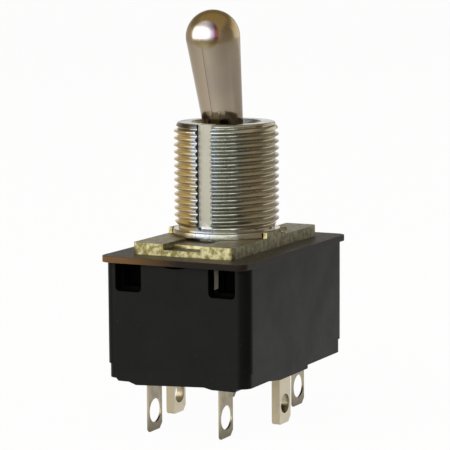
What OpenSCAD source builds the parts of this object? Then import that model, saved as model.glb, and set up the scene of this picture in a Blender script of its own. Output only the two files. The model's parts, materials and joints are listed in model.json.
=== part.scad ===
// Panel toggle switch: two poles, two positions, bat handle, six solder lugs.
// The origin is on the bushing's axis, on the top face of the mounting plate.
// +Z runs up the bushing and +Y runs along the case, away from the lever's lean.

/* [Bushing] */
// Outside diameter of the mounting thread
thread_d = 11.9; // [11.4:0.1:13]
// Distance between two thread crests
thread_pitch = 0.794; // [0.7:0.002:1.2]
// Depth of the thread below its crests
thread_depth = 0.48; // [0.3:0.02:0.55]
// Height of the bushing above the mounting plate
bushing_h = 12.75; // [11:0.25:18]
// Height of the chamfer round the top of the thread
crown_h = 0.85; // [0.5:0.05:1.2]
// Depth of that chamfer
crown_chamfer = 0.5; // [0.2:0.05:0.6]
// Height of the plain collar at the bushing's foot
collar_h = 0.7; // [0.6:0.1:1.6]
// How far the collar stands out past the thread
collar_lip = 0.16; // [0.1:0.02:0.3]
// Plain relief between the collar and the first crest
relief_h = 0.35; // [0.1:0.05:1]
// Diameter of the flared mouth
mouth_d = 7.8; // [7:0.1:8.6]
// Diameter of the throat that holds the pivot ball in
throat_d = 5.0; // [4.8:0.05:5.3]
// Diameter of the hollow below the pivot ball
hollow_d = 8.4; // [8.2:0.1:9]
// Wall of the spigot that passes through the plate
spigot_wall = 0.8; // [0.6:0.05:1.1]
// How far the staked lip spreads under the plate
stake_lip = 0.35; // [0.2:0.05:0.5]
// Width of the keyway down the front of the thread
keyway_w = 1.8; // [1.2:0.1:2.4]
// Depth of the keyway's flat floor below the crests
keyway_depth = 0.75; // [0.5:0.05:1]

/* [Lever] */
// Angle that the lever swings through
throw_angle = 27; // [20:1:28]
// Depth of the pivot below the bushing's top
pivot_depth = 3.45; // [3:0.05:4]
// Distance from the pivot to the middle of the ball tip
lever_len = 13.45; // [10:0.25:20]
// Diameter of the ball tip
tip_d = 6.05; // [5:0.05:7]
// Diameter of the lever where it leaves the bushing
neck_d = 4.1; // [3.4:0.05:4.4]
// Diameter of the pivot ball
pivot_ball_d = 5.8; // [5.6:0.05:6]
// Diameter of the tail below the pivot
tail_d = 2.5; // [2:0.05:2.6]
// Diameter of the cross pin
pin_d = 1.2; // [0.8:0.05:1.4]
// Length of the cross pin
pin_len = 7.8; // [7:0.1:8.4]

/* [Mounting plate] */
// Distance of the plate's ends from the case's ends
plate_end = 1.8; // [1.3:0.1:2.4]
// Width of the plate
plate_w = 12.4; // [12.2:0.1:14]
// Thickness of the plate
plate_t = 1.3; // [1:0.05:1.8]
// Corner radius of the plate
plate_corner_r = 0.6; // [0.3:0.1:1.5]
// Width of the keying recess in each end
recess_w = 4.6; // [3:0.1:5.2]
// Depth of the recess at the plate's edge
recess_depth = 0.65; // [0.4:0.05:0.8]
// Depth of the round land behind it
land_depth = 0.3; // [0.1:0.05:0.35]
// Radius of the round land
land_r = 8.9; // [7.5:0.1:9.5]
// Length of the raised ear beside the collar
ear_l = 4.8; // [3:0.1:7]
// Height of the ear above the plate
ear_h = 0.65; // [0.3:0.05:0.8]
// Thickness of the ear, which keys into a flat on the collar
ear_t = 0.45; // [0.3:0.05:0.6]
// Thickness of the four legs that hold the case
leg_t = 0.4; // [0.3:0.05:0.6]
// Width of a leg, along the case
leg_w = 1.5; // [1:0.1:1.8]
// Reach of a leg's bent foot under the case's rib
foot_reach = 0.9; // [0.5:0.1:1.5]

/* [Insulating plate] */
// How far the insulating plate passes the case at each end
insulator_end = 1.0; // [0.2:0.1:2]
// How far it passes the case at each side
insulator_side = 0.05; // [0:0.05:1]
// Thickness of the insulating plate
insulator_t = 0.7; // [0.5:0.05:1.2]
// Corner radius of the insulating plate
insulator_corner_r = 1.2; // [0.5:0.1:2.5]

/* [Case] */
// Length of the case
case_l = 25.6; // [25:0.2:30]
// Width of the case
case_w = 17.7; // [17:0.1:20]
// Height of the case
case_h = 13.05; // [12.6:0.05:16]
// Radius of the case's upright corners
case_corner_r = 1.4; // [0.8:0.1:2.5]
// Thickness of the case's walls
case_wall = 1.45; // [1.1:0.05:1.55]
// Thickness of the case's floor
floor_t = 1.9; // [1.4:0.1:2.4]
// Height of the set-back band round the foot of the case
skirt_h = 1.6; // [0.8:0.1:2.5]
// How far that band is set back
skirt_inset = 0.15; // [0.1:0.05:0.5]
// Width of the tool windows in the end walls
window_w = 3.25; // [2.5:0.05:3.5]
// Depth of a window below the case's top
window_h = 3.25; // [2:0.05:3.6]
// Distance of a window's middle from the case's side
window_side = 3.1; // [2.95:0.05:3.35]
// Radius of a window's lower corners
window_r = 0.5; // [0.2:0.05:1]
// Width of the shallow arc in the top of each end wall
arc_w = 4.1; // [3:0.1:5]
// Depth of that arc
arc_depth = 0.4; // [0.2:0.05:0.8]
// Distance of the rib's ends from the case's sides; the legs stand beside it
rib_side = 5.65; // [5.5:0.05:6.2]
// Depth of that rib below the case's top
rib_h = 2.3; // [2.2:0.05:3.5]
// Room for a leg behind each window, along the case
pocket_l = 2.1; // [1.9:0.1:2.4]
// Wall round those pockets
pocket_wall = 0.5; // [0.4:0.05:0.8]
// Drop of the middle pads under the case
pad_drop = 0.4; // [0.1:0.05:0.6]

/* [Terminals] */
// Distance of the end lugs from the case's sides
end_lug_side = 4.4; // [4.1:0.05:4.6]
// Distance of the end lugs' middles from the case's ends
end_lug_end = 3.4; // [3.2:0.05:3.8]
// Width of an end lug
end_lug_w = 3.1; // [2.9:0.05:3.3]
// Thickness of an end lug
end_lug_t = 0.25; // [0.2:0.05:0.5]
// Diameter of an end lug's eye
end_eye_d = 2.7; // [1.5:0.05:2.7]
// Distance of the middle lugs from the case's sides
common_lug_side = 2.1; // [2.1:0.05:2.3]
// Width of a middle lug
common_lug_w = 2.9; // [2.6:0.05:3.4]
// Thickness of a middle lug
common_lug_t = 1.0; // [0.8:0.05:1]
// Thickness of its foot inside the case
common_foot_t = 0.8; // [0.5:0.05:0.8]
// Diameter of a middle lug's eye
common_eye_d = 2.2; // [1.2:0.05:2.2]
// How far every lug reaches below the case
lug_drop = 6.25; // [5:0.25:9]
// Height of the eyes above the lug tips
eye_rise = 2.25; // [2:0.05:3]
// Chamfer on the rear corners of the lug tips
tip_chamfer = 0.6; // [0.2:0.05:0.9]
// Chamfer on their front corners
front_chamfer = 0.25; // [0.1:0.05:0.9]

/* [Contacts] */
// Distance of the rockers from the case's sides
rocker_side = 5.4; // [5.35:0.05:5.65]
// Width of a rocker
rocker_w = 2.6; // [2:0.1:2.8]
// Thickness of a rocker's strip
rocker_t = 0.6; // [0.4:0.05:0.6]
// How far a rocker passes the middle of its contact
rocker_lead = 1.1; // [0.9:0.05:1.5]
// Tilt of a rocker either side of level
rocker_tilt = 5; // [4:0.25:5.5]
// Height of the rocker's valley above its pivot axis
valley_h = 0.95; // [0.9:0.05:1.1]
// Half length of the valley
valley_l = 1.8; // [1.6:0.1:1.9]
// Distance from the pivot to a wing's shoulder
shoulder_y = 5.4; // [5.3:0.05:5.8]
// Radius of the ridge that a rocker rolls on
fulcrum_r = 0.5; // [0.4:0.05:0.55]
// Distance of a moving contact from its lug's middle, towards the pivot
contact_in = 0.7; // [0.5:0.05:0.9]
// Diameter of a moving contact's head
contact_d = 2.1; // [1.8:0.1:2.2]
// Diameter of a fixed contact's head
fixed_contact_d = 2.2; // [1.8:0.1:2.2]
// Height of a contact's head
contact_h = 0.5; // [0.3:0.05:0.6]
// Diameter of a contact's shank
shank_d = 1.0; // [0.6:0.1:1.2]

/* [Actuator] */
// Wall of the socket round the lever's tail
socket_wall = 0.9; // [0.6:0.05:1]
// Distance of the socket's top from the pivot
socket_top = 13.6; // [13.4:0.1:14.5]
// Depth of the socket's bore
socket_depth = 4.3; // [3.8:0.1:4.4]
// Length of the tail inside the socket
tail_grip = 1.7; // [1.4:0.1:2]
// Radius of the feet that roll on the rockers
foot_r = 0.9; // [0.7:0.05:1]
// Width of a foot
foot_w = 2.0; // [1.4:0.1:2.4]
// Height of the bar that joins the feet
bar_h = 1.8; // [1.2:0.1:2]
// Diameter of the spring's coil
spring_d = 1.9; // [1.4:0.05:2]
// Diameter of the spring's wire
wire_d = 0.28; // [0.2:0.02:0.36]
// Turns in the spring
spring_turns = 4; // [3:1:5]

/* [Hidden] */
$fn = 64;
eps = 0.05;                     // overrun of cuts past a face
running_gap = 0.05;             // radial clearance of what turns or slides
seated_gap = 0.02;              // clearance of what is fixed in its hole
slot_gap = 0.06;                // clearance of flat pieces in their slots
contact_gap = 0.03;             // gap that is left between closed contacts
pass_gap = 0.19;                // gap under a foot as it passes the valley
fulcrum_sink = 0.1;             // how far the ridge is sunk in its terminal
stake_room = 0.3;               // room round the staked lip in the insulating plate
leg_set = 0.1;                  // distance of the legs from the plate's ends

// Levels
insulator_z = -plate_t - insulator_t;
case_top = insulator_z;
case_bottom = case_top - case_h;
floor_top = case_bottom + floor_t;
lug_tip_z = case_bottom - lug_drop;
eye_z = lug_tip_z + eye_rise;
pivot_z = bushing_h - pivot_depth;
rocker_z = floor_top + common_foot_t + fulcrum_r - fulcrum_sink;
lean = throw_angle / 2;

// Plan of the case
inner_w = case_w - 2 * case_wall;
inner_l = case_l - 2 * case_wall;
plate_l = case_l - 2 * plate_end;
rib_l = case_w - 2 * rib_side;
window_x = case_w / 2 - window_side;
end_lug_x = case_w / 2 - end_lug_side;
lug_pitch = case_l / 2 - end_lug_end;
common_lug_x = case_w / 2 - common_lug_side;
rocker_x = case_w / 2 - rocker_side;
contact_y = lug_pitch - contact_in;
rocker_reach = contact_y + rocker_lead;
leg_x = rib_l / 2 + slot_gap;
leg_end_y = plate_l / 2 - leg_set;

// Pads under the case: where the middle one starts, ends and has run out to the front,
// then the front one's profile, as [share of the half width, share of the drop]
mid_pad = [3, -4.3, -7.3];
front_pad_y = 7;
front_pad = [[-0.86, 0], [-0.828, 0.75], [-0.678, 0.75], [-0.574, 1.5], [0.391, 0.375], [0.506, 0.875],
             [0.828, 0.875], [0.86, 0]];

// Bushing
thread_r = thread_d / 2;
root_r = thread_r - thread_depth;
collar_r = thread_r + collar_lip;
collar_flat = plate_w / 2 - ear_t - seated_gap;
spigot_r = hollow_d / 2 + spigot_wall;
stake_r = spigot_r + stake_lip;
stake_h = 0.4;
seat_r = pivot_ball_d / 2 + running_gap;
seat_skirt = 1.0;               // straight wall below the ball's seat
crest_flat = thread_pitch / 8;
flank_h = thread_depth * tan(30);
crests = 1 + floor((bushing_h - crown_h - crest_flat - flank_h - collar_h - relief_h) / thread_pitch);

// Lever
neck_slope = atan((tip_d - neck_d) / 2 / (lever_len - pivot_depth));
tail_len = socket_top + tail_grip;

// Feet and rockers. The foot's middle lies foot_d from the pivot, and the wing's slope
// brings the rocker against the foot at rest.
foot_d = pivot_z - rocker_z - valley_h - pass_gap - foot_r;
foot_world = [foot_d * sin(lean), pivot_z - foot_d * cos(lean) - rocker_z];
foot_local = [foot_world[0] * cos(rocker_tilt) - foot_world[1] * sin(rocker_tilt),
              foot_world[1] * cos(rocker_tilt) + foot_world[0] * sin(rocker_tilt)];
foot_off = foot_local - [valley_l, valley_h];
wing_slope = acos((foot_r + contact_gap) / norm(foot_off)) - atan2(foot_off[0], foot_off[1]);
shoulder_h = valley_h + (shoulder_y - valley_l) * tan(wing_slope);
arm_bottom = shoulder_h - rocker_t;

// Fixed contacts lie under the moving ones when these are down
closed_y = contact_y * cos(rocker_tilt) + (arm_bottom - contact_h) * sin(rocker_tilt);
closed_z = rocker_z + (arm_bottom - contact_h) * cos(rocker_tilt) - contact_y * sin(rocker_tilt)
         - contact_d / 2 * sin(rocker_tilt);
pad_top = closed_z - contact_gap - contact_h;
pad_bottom = pad_top - end_lug_t;
pad_in = rocker_x - rocker_w / 2;

// Actuator
socket_r = tail_d / 2 + running_gap + socket_wall;
socket_bottom = socket_top + socket_depth;

// ---- helpers ----

// Rectangle centred on the origin with round corners
module rounded_rect(w, l, r) {
    square([w - 2 * r, l], center = true);
    square([w, l - 2 * r], center = true);
    for (sx = [-1, 1], sy = [-1, 1])
        translate([sx * (w / 2 - r), sy * (l / 2 - r)]) circle(r);
}

// Block between two corners
module block(low, high) {
    translate(low) cube(high - low);
}

// Flat shape drawn in Y and Z, made t thick about the plane x
module upright_plate(x, t) {
    translate([x - t / 2, 0, 0]) rotate([90, 0, 90]) linear_extrude(t) children();
}

// Puts a shape drawn along the lever's own axis where the lever leans at rest
module along_lever() {
    translate([0, 0, pivot_z]) rotate([lean, 0, 0]) children();
}

// Puts a shape drawn about a level rocker's pivot where the rocker tilts at rest
module on_rocker(side) {
    translate([side * rocker_x, 0, rocker_z]) rotate([-rocker_tilt, 0, 0]) children();
}

// Copies at the four corners
module at_four_corners() {
    for (sx = [0, 1], sy = [0, 1]) mirror([sx, 0, 0]) mirror([0, sy, 0]) children();
}

// ---- lever ----

module lever_outline() {
    reach = lever_len + tip_d;
    tip_touch = [tip_d / 2 * cos(neck_slope), lever_len - tip_d / 2 * sin(neck_slope)];
    foot_x = tip_touch[0] - tip_touch[1] * tan(neck_slope);
    intersection() {
        union() {
            translate([0, lever_len]) circle(d = tip_d);
            polygon([[0, 0], [foot_x, 0], tip_touch - [0.002, 0], [0, tip_touch[1]]]);
            circle(d = pivot_ball_d);
            translate([0, -tail_len]) square([tail_d / 2, tail_len]);
        }
        translate([0, -tail_len]) square([tip_d, tail_len + reach]);
    }
}

module bat_lever() {
    color("#a89a84") along_lever() difference() {
        rotate_extrude() lever_outline();
        rotate([0, 90, 0]) cylinder(d = pin_d + 2 * seated_gap, h = pivot_ball_d + 1, center = true);
    }
}

module lever_pin() {
    color("#9a9a98") along_lever() rotate([0, 90, 0]) cylinder(d = pin_d, h = pin_len, center = true);
}

// ---- bushing ----

function crest_z(i) = bushing_h - crown_h - i * thread_pitch;

module bushing_outline() {
    stake_z = -plate_t - stake_h;
    rings = [for (i = [0 : crests - 1]) each [
        [thread_r, crest_z(i)],
        [thread_r, crest_z(i) - crest_flat],
        [root_r, crest_z(i) - crest_flat - flank_h],
        [root_r, i < crests - 1 ? crest_z(i + 1) + flank_h : collar_h]
    ]];
    polygon(concat(
        [[0, stake_z], [0, bushing_h], [thread_r - crown_chamfer, bushing_h]],
        rings,
        [[collar_r, collar_h], [collar_r, 0], [spigot_r, 0], [spigot_r, -plate_t - seated_gap],
         [stake_r, -plate_t - seated_gap], [stake_r, stake_z]]
    ));
}

module bushing_hollow() {
    hollow_r = hollow_d / 2;
    bottom = -plate_t - stake_h - eps;
    skirt_z = pivot_z - seat_skirt;
    cone_z = skirt_z - (hollow_r - seat_r);
    throat_z = pivot_z + sqrt(pow(seat_r, 2) - pow(throat_d / 2, 2));
    translate([0, bottom]) square([hollow_r, cone_z - bottom]);
    polygon([[0, cone_z], [hollow_r, cone_z], [seat_r, skirt_z], [seat_r, pivot_z], [0, pivot_z]]);
    intersection() {
        translate([0, pivot_z]) circle(seat_r);
        translate([0, pivot_z - eps]) square([seat_r, throat_z - pivot_z + eps]);
    }
    polygon([[0, throat_z - eps], [throat_d / 2, throat_z - eps], [throat_d / 2, throat_z],
             [mouth_d / 2, bushing_h], [mouth_d / 2, bushing_h + eps], [0, bushing_h + eps]]);
}

module keyway_cut() {
    floor_y = thread_r - keyway_depth;
    run_out_z = collar_h + keyway_depth;
    block([-keyway_w / 2, -collar_r - eps, run_out_z], [keyway_w / 2, -floor_y, bushing_h + eps]);
    translate([0, -thread_r, run_out_z]) rotate([0, 90, 0])
        cylinder(r = keyway_depth, h = keyway_w, center = true);
}

module pin_slots() {
    slot_r = pin_d / 2 + running_gap;
    slot_len = pin_len + 4 * running_gap;
    translate([0, 0, pivot_z]) rotate([0, 90, 0]) cylinder(r = slot_r, h = slot_len, center = true);
    block([-slot_len / 2, -slot_r, pivot_z - hollow_d / 2], [slot_len / 2, slot_r, pivot_z]);
}

// Flats that the plate's ears key into
module collar_flats() {
    half = ear_l / 2 + seated_gap;
    top = max(ear_h + seated_gap, collar_h + eps);
    for (s = [0, 1]) mirror([s, 0, 0])
        block([collar_flat, -half, -eps], [collar_r + eps, half, top]);
}

module threaded_bushing() {
    color("#a39a80") difference() {
        rotate_extrude() difference() {
            bushing_outline();
            bushing_hollow();
        }
        collar_flats();
        keyway_cut();
        pin_slots();
    }
}

// ---- mounting plate ----

module plate_ears() {
    for (s = [0, 1]) mirror([s, 0, 0])
        block([plate_w / 2 - ear_t, -ear_l / 2, -plate_t], [plate_w / 2, ear_l / 2, ear_h]);
}

module plate_recess() {
    half = recess_w / 2;
    reach = plate_l / 2 + eps;
    block([-half, -reach, -land_depth], [half, reach, eps]);
    difference() {
        block([-half, -reach, -recess_depth], [half, reach, eps]);
        translate([0, 0, -plate_t]) cylinder(r = land_r, h = 2 * plate_t);
    }
}

module plate_leg() {
    foot_top = case_top - rib_h - slot_gap;
    block([leg_x, leg_end_y - leg_w, foot_top - leg_t], [leg_x + leg_t, leg_end_y, -plate_t + eps]);
    block([leg_x - foot_reach, leg_end_y - leg_w, foot_top - leg_t], [leg_x + eps, leg_end_y, foot_top]);
}

module mounting_plate() {
    color("#a39a5c") {
        difference() {
            translate([0, 0, -plate_t]) linear_extrude(plate_t) rounded_rect(plate_w, plate_l, plate_corner_r);
            plate_recess();
            translate([0, 0, -plate_t - eps]) cylinder(r = spigot_r + seated_gap, h = plate_t + 2 * eps);
        }
        plate_ears();
        at_four_corners() plate_leg();
    }
}

// ---- insulating plate ----

module leg_slot() {
    block([leg_x - slot_gap, leg_end_y - leg_w - slot_gap, insulator_z - eps],
          [leg_x + leg_t + slot_gap, leg_end_y + slot_gap, -plate_t + eps]);
}

module insulating_plate() {
    width = case_w + 2 * insulator_side;
    length = case_l + 2 * insulator_end;
    color("#4a3b33") difference() {
        translate([0, 0, insulator_z]) linear_extrude(insulator_t)
            rounded_rect(width, length, insulator_corner_r);
        translate([0, 0, insulator_z - eps]) cylinder(r = stake_r + stake_room, h = insulator_t + 2 * eps);
        at_four_corners() leg_slot();
    }
}

// ---- case ----

module case_shell() {
    translate([0, 0, case_bottom + skirt_h]) linear_extrude(case_h - skirt_h)
        rounded_rect(case_w, case_l, case_corner_r);
    translate([0, 0, case_bottom]) linear_extrude(skirt_h + eps)
        rounded_rect(case_w - 2 * skirt_inset, case_l - 2 * skirt_inset, case_corner_r - skirt_inset / 2);
}

// Pads under the case: one across its middle, and a stepped one at its front
module case_pads() {
    side = case_w / 2 - skirt_inset;
    front = case_l / 2 - skirt_inset;
    top = case_bottom + eps;
    translate([-side, 0, 0]) rotate([90, 0, 90]) linear_extrude(2 * side)
        polygon([[mid_pad[2], top], [mid_pad[2], case_bottom], [mid_pad[1], case_bottom - pad_drop],
                 [mid_pad[0], case_bottom - pad_drop], [mid_pad[0], top]]);
    translate([0, -front_pad_y, 0]) rotate([90, 0, 0]) linear_extrude(front - front_pad_y)
        polygon(concat([[front_pad[0][0] * side, top]],
                       [for (p = front_pad) [p[0] * side, case_bottom - p[1] * pad_drop]],
                       [[front_pad[len(front_pad) - 1][0] * side, top]]));
}

module window_outline() {
    low = case_top - window_h;
    translate([-window_w / 2, low + window_r]) square([window_w, window_h]);
    translate([-window_w / 2 + window_r, low]) square([window_w - 2 * window_r, window_h]);
    for (s = [-1, 1]) translate([s * (window_w / 2 - window_r), low + window_r]) circle(window_r);
}

module end_wall_cuts() {
    arc_r = (pow(arc_w / 2, 2) + pow(arc_depth, 2)) / (2 * arc_depth);
    translate([0, -inner_l / 2 + eps, 0]) rotate([90, 0, 0]) linear_extrude(case_wall + 2 * eps) {
        for (s = [-1, 1]) translate([s * window_x, 0]) window_outline();
        translate([0, case_top - arc_depth + arc_r]) circle(arc_r);
    }
}

module lug_slot(x, y, w, t) {
    block([x - t / 2 - slot_gap, y - w / 2 - slot_gap, case_bottom - 2 * pad_drop - eps],
          [x + t / 2 + slot_gap, y + w / 2 + slot_gap, case_top]);
}

// Ledge across an end of the case, hollowed into two leg pockets with the rib between them
module end_ledge() {
    pocket_z = case_top - rib_h - leg_t - 3 * slot_gap;
    pocket_y = inner_l / 2 - pocket_l;
    difference() {
        block([-eps, pocket_y - pocket_wall, pocket_z - pocket_wall],
              [inner_w / 2 + eps, inner_l / 2 + eps, case_top]);
        block([rib_l / 2, pocket_y, pocket_z], [inner_w / 2, inner_l / 2, case_top + eps]);
        block([leg_x - foot_reach - slot_gap, pocket_y, pocket_z],
              [rib_l / 2 + eps, inner_l / 2, case_top - rib_h]);
    }
}

module case_moulding() {
    shelf_l = end_lug_w / 2 + slot_gap;
    color("#2b2c2a") difference() {
        union() {
            difference() {
                union() {
                    case_shell();
                    case_pads();
                }
                translate([0, 0, floor_top]) linear_extrude(case_h) rounded_rect(inner_w, inner_l, window_r);
            }
            // shelves under the contact pads, and ledges that the legs hook under
            at_four_corners() {
                block([pad_in - slot_gap, lug_pitch - shelf_l, floor_top - eps],
                      [end_lug_x + 1, inner_l / 2 + eps, pad_bottom - seated_gap]);
                end_ledge();
            }
        }
        end_wall_cuts();
        mirror([0, 1, 0]) end_wall_cuts();
        for (sx = [-1, 1]) {
            lug_slot(sx * common_lug_x, 0, common_lug_w, common_lug_t);
            for (sy = [-1, 1]) lug_slot(sx * end_lug_x, sy * lug_pitch, end_lug_w, end_lug_t);
        }
    }
}

// ---- terminals ----

// Outline of a lug in Y and Z, up to the level top, with chamfered tip corners and its eye
module lug_outline(w, top, eye_d) {
    difference() {
        polygon([[-w / 2, top], [-w / 2, lug_tip_z + front_chamfer], [-w / 2 + front_chamfer, lug_tip_z],
                 [w / 2 - tip_chamfer, lug_tip_z], [w / 2, lug_tip_z + tip_chamfer], [w / 2, top]]);
        translate([0, eye_z]) circle(d = eye_d);
    }
}

module end_terminal(side, end) {
    mirror([side < 0 ? 1 : 0, 0, 0]) color("#c9bd9a") difference() {
        union() {
            translate([0, end * lug_pitch, 0]) upright_plate(end_lug_x, end_lug_t)
                lug_outline(end_lug_w, pad_top, end_eye_d);
            block([pad_in, end * lug_pitch - end_lug_w / 2, pad_bottom],
                  [end_lug_x, end * lug_pitch + end_lug_w / 2, pad_top]);
        }
        translate([rocker_x, end * closed_y, pad_bottom - eps])
            cylinder(d = shank_d + 2 * seated_gap, h = end_lug_t + 2 * eps);
    }
}

module common_terminal(side) {
    foot_top = floor_top + common_foot_t;
    mirror([side < 0 ? 1 : 0, 0, 0]) color("#c9bd9a") {
        upright_plate(common_lug_x, common_lug_t) lug_outline(common_lug_w, foot_top, common_eye_d);
        block([pad_in, -common_lug_w / 2, floor_top],
              [common_lug_x, common_lug_w / 2, foot_top]);
        translate([rocker_x, 0, rocker_z]) rotate([0, 90, 0])
            cylinder(r = fulcrum_r, h = rocker_w, center = true);
    }
}

// ---- contacts ----

module rocker_outline() {
    bend = rocker_t * tan(wing_slope / 2);
    half = [[valley_l, valley_h], [shoulder_y, shoulder_h], [rocker_reach, shoulder_h],
            [rocker_reach, arm_bottom], [shoulder_y + bend, arm_bottom], [valley_l + bend, valley_h - rocker_t]];
    last = len(half) - 1;
    difference() {
        polygon(concat(half, [for (i = [last : -1 : 0]) [-half[i][0], half[i][1]]]));
        circle(fulcrum_r + running_gap);
    }
}

module rocker(side) {
    color("#b07a4a") on_rocker(side) difference() {
        upright_plate(0, rocker_w) rocker_outline();
        for (s = [-1, 1]) translate([0, s * contact_y, arm_bottom - eps])
            cylinder(d = shank_d + 2 * seated_gap, h = rocker_t + 2 * eps);
    }
}

// Riveted contact: the face of its head is at 0, and its shank runs up through sheet of thickness t
module contact_rivet(head_d, t, upset_h) {
    rotate_extrude() {
        square([head_d / 2, contact_h]);
        square([shank_d / 2, contact_h + t + upset_h]);
        if (upset_h > 0) translate([0, contact_h + t + seated_gap]) square([shank_d * 0.8, upset_h]);
    }
}

module moving_contact(side, end) {
    upset_h = 0.15;
    color("#c4c4c0") on_rocker(side) translate([0, end * contact_y, arm_bottom - contact_h - seated_gap])
        contact_rivet(contact_d, rocker_t, upset_h);
}

module fixed_contact(side, end) {
    color("#c4c4c0") translate([side * rocker_x, end * closed_y, pad_top + contact_h + seated_gap])
        mirror([0, 0, 1]) contact_rivet(fixed_contact_d, end_lug_t - 2 * seated_gap, 0);
}

// ---- actuator ----

module actuator() {
    bore_r = tail_d / 2 + running_gap;
    bar_top = -socket_bottom + bar_h / 2;
    color("#d8cfae") along_lever() difference() {
        union() {
            translate([0, 0, -socket_bottom - socket_wall])
                cylinder(r = socket_r, h = socket_depth + socket_wall);
            block([-rocker_x - foot_w / 2, -foot_r, bar_top - bar_h], [rocker_x + foot_w / 2, foot_r, bar_top]);
            for (s = [-1, 1]) translate([s * rocker_x, 0, 0]) {
                block([-foot_w / 2, -foot_r, -foot_d], [foot_w / 2, foot_r, bar_top]);
                translate([0, 0, -foot_d]) rotate([0, 90, 0]) cylinder(r = foot_r, h = foot_w, center = true);
            }
        }
        translate([0, 0, -socket_bottom]) cylinder(r = bore_r, h = socket_depth + eps);
    }
}

// Point of the spring's wire: angle a along the coil, angle b round the wire
function coil_point(a, b, rise) = let (r = spring_d / 2 - wire_d / 2 + wire_d / 2 * cos(b))
    [r * cos(a), r * sin(a), rise * a / 360 + wire_d / 2 * sin(b)];

module actuator_spring() {
    sides = 8;
    steps = 16 * spring_turns;
    length = socket_depth - tail_grip - wire_d - 2 * seated_gap;
    rise = length / spring_turns;
    points = [for (i = [0 : steps], j = [0 : sides - 1])
        coil_point(360 * spring_turns * i / steps, 360 * j / sides, rise)];
    walls = [for (i = [0 : steps - 1], j = [0 : sides - 1]) let (k = (j + 1) % sides)
        [i * sides + j, (i + 1) * sides + j, (i + 1) * sides + k, i * sides + k]];
    ends = [[for (j = [0 : sides - 1]) j], [for (j = [sides - 1 : -1 : 0]) steps * sides + j]];
    color("#8f9194") along_lever() translate([0, 0, -socket_bottom + wire_d / 2 + seated_gap])
        polyhedron(points = points, faces = concat(walls, ends));
}

bat_lever();
lever_pin();
threaded_bushing();
mounting_plate();
insulating_plate();
case_moulding();
actuator();
actuator_spring();
rocker(-1);  // left_rocker
rocker(1);  // right_rocker
moving_contact(-1, -1);  // left_front_moving_contact
moving_contact(-1, 1);  // left_rear_moving_contact
moving_contact(1, -1);  // right_front_moving_contact
moving_contact(1, 1);  // right_rear_moving_contact
fixed_contact(-1, -1);  // left_front_fixed_contact
fixed_contact(-1, 1);  // left_rear_fixed_contact
fixed_contact(1, -1);  // right_front_fixed_contact
fixed_contact(1, 1);  // right_rear_fixed_contact
end_terminal(-1, -1);  // left_front_terminal
end_terminal(-1, 1);  // left_rear_terminal
end_terminal(1, -1);  // right_front_terminal
end_terminal(1, 1);  // right_rear_terminal
common_terminal(-1);  // left_common_terminal
common_terminal(1);  // right_common_terminal
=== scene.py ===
"""Panel toggle switch: finishes, real screw thread, soft edges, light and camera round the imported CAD."""

import json
import math

import bmesh
import bpy
from mathutils import Matrix, Vector


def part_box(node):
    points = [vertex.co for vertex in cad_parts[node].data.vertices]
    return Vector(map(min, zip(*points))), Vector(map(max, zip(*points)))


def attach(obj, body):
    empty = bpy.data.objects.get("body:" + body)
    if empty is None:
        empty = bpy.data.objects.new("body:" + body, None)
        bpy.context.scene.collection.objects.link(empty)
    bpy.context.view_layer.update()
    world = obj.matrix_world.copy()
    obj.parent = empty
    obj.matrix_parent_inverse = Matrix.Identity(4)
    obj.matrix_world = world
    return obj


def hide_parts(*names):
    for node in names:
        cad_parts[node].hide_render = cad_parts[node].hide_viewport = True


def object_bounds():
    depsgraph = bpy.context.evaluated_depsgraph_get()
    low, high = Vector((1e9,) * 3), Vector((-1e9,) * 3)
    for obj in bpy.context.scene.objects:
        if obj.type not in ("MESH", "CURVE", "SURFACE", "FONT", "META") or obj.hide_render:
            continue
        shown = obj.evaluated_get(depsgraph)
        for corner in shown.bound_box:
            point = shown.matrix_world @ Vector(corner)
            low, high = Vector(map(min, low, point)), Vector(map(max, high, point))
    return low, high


MM = 0.001

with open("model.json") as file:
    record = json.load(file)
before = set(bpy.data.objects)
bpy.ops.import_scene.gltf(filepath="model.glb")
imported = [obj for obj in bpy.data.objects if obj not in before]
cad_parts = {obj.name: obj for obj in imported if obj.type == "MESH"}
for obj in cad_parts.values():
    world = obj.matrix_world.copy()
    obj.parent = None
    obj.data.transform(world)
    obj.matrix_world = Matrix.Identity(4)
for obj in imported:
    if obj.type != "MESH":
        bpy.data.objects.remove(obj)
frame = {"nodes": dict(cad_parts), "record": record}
CAD_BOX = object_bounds()
THROW = next(joint for joint in frame["record"]["behaviour"]["joints"] if joint["name"] == "lever_throw")

# Lever, in mm where it isn't read from the frame
PIVOT = Vector(THROW["pos_m"])
LEAN = math.radians(THROW["range_deg"][1] / 2)
NECK_LEN = (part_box("threaded_bushing")[1].z - PIVOT.z) / MM
NECK_D = 4.1
PIVOT_BALL_D = 5.8
TAIL_D = 2.5
TAIL_LEN = 15.3
TAIL_CHAMFER = 0.1
BALL_STEP = 0.4                 # the ball's edge stands this far out from the shaft's line
SHAFT_FOOT = (0.45, 0.15)       # the shaft starts this far out from its line and above the ball's edge
TIP_END = 86                    # the tip's round ends here, in degrees, and closes in one point
LEVER_SIDES = 128

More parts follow.
